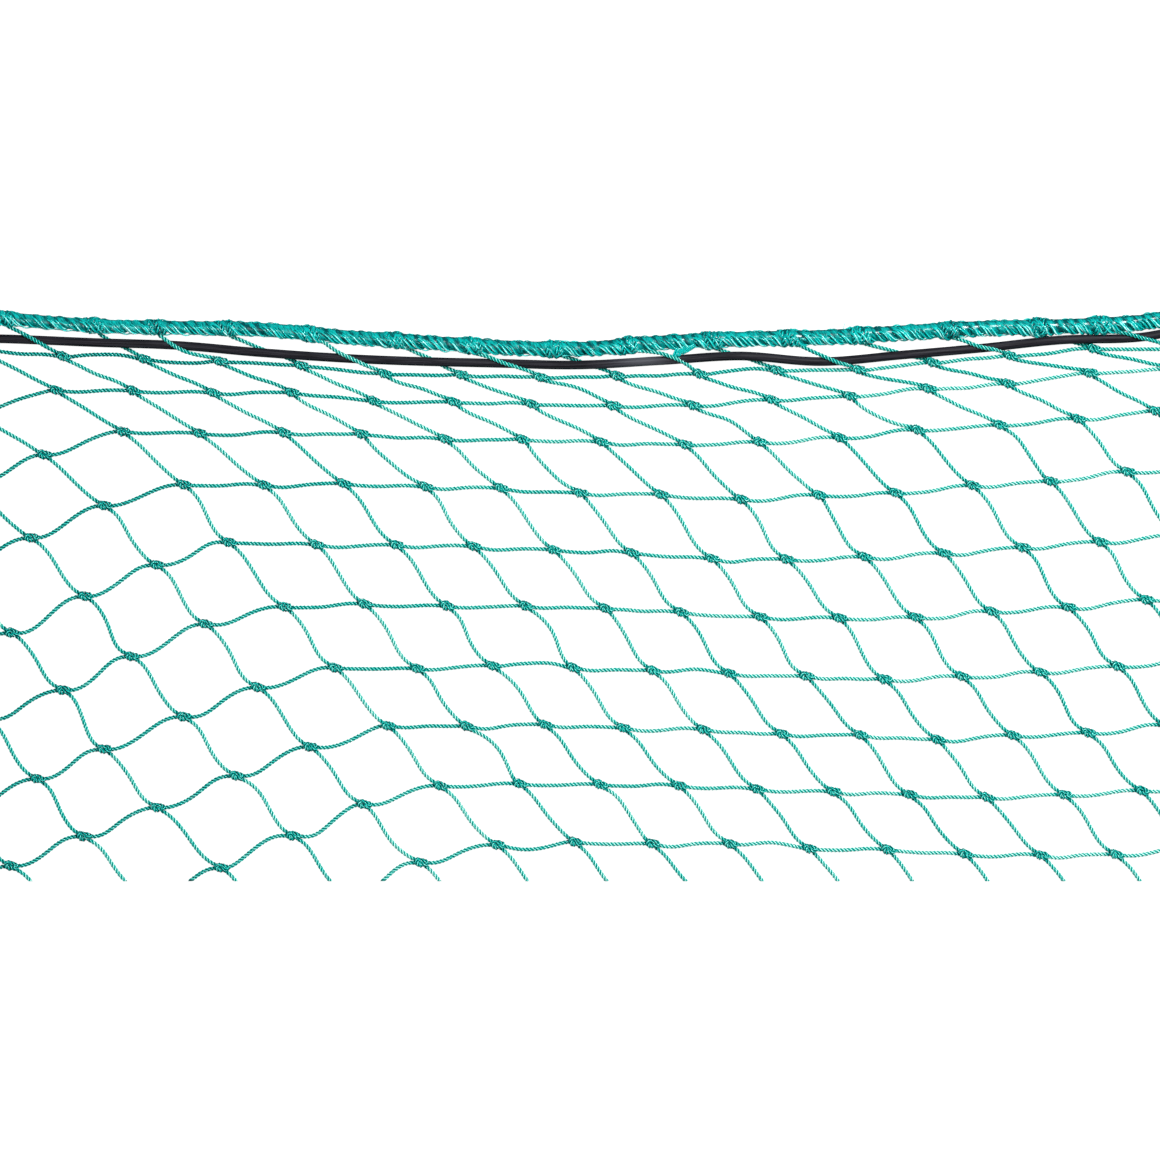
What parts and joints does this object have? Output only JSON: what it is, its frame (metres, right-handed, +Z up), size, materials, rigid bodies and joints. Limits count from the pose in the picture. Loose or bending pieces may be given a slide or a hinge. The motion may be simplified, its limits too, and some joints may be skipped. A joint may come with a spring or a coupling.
{
  "type": "trailer net",
  "caption": "Cut length of knotted trailer net lying flat in gentle folds, hitched to a plaited border cord with an elastic cord threaded along it.",
  "frame": {"origin": "on the surface that the net lies on, under the middle of its bounding box", "axes": "+X along the border cord, +Y across the net towards the border, +Z up from the surface"},
  "size_m": [0.6784, 0.324, 0.0082],
  "materials": {
    "twine": "glossy twisted plastic fibre, teal green",
    "plaited_cord": "glossy plaited plastic fibre, teal green",
    "elastic_sleeve": "smooth fine woven sleeve, near black"
  },
  "bodies": {
    "root": {"net": "twine", "border_cord": "plaited_cord", "elastic_cord": "elastic_sleeve"}
  },
  "joints": []
}
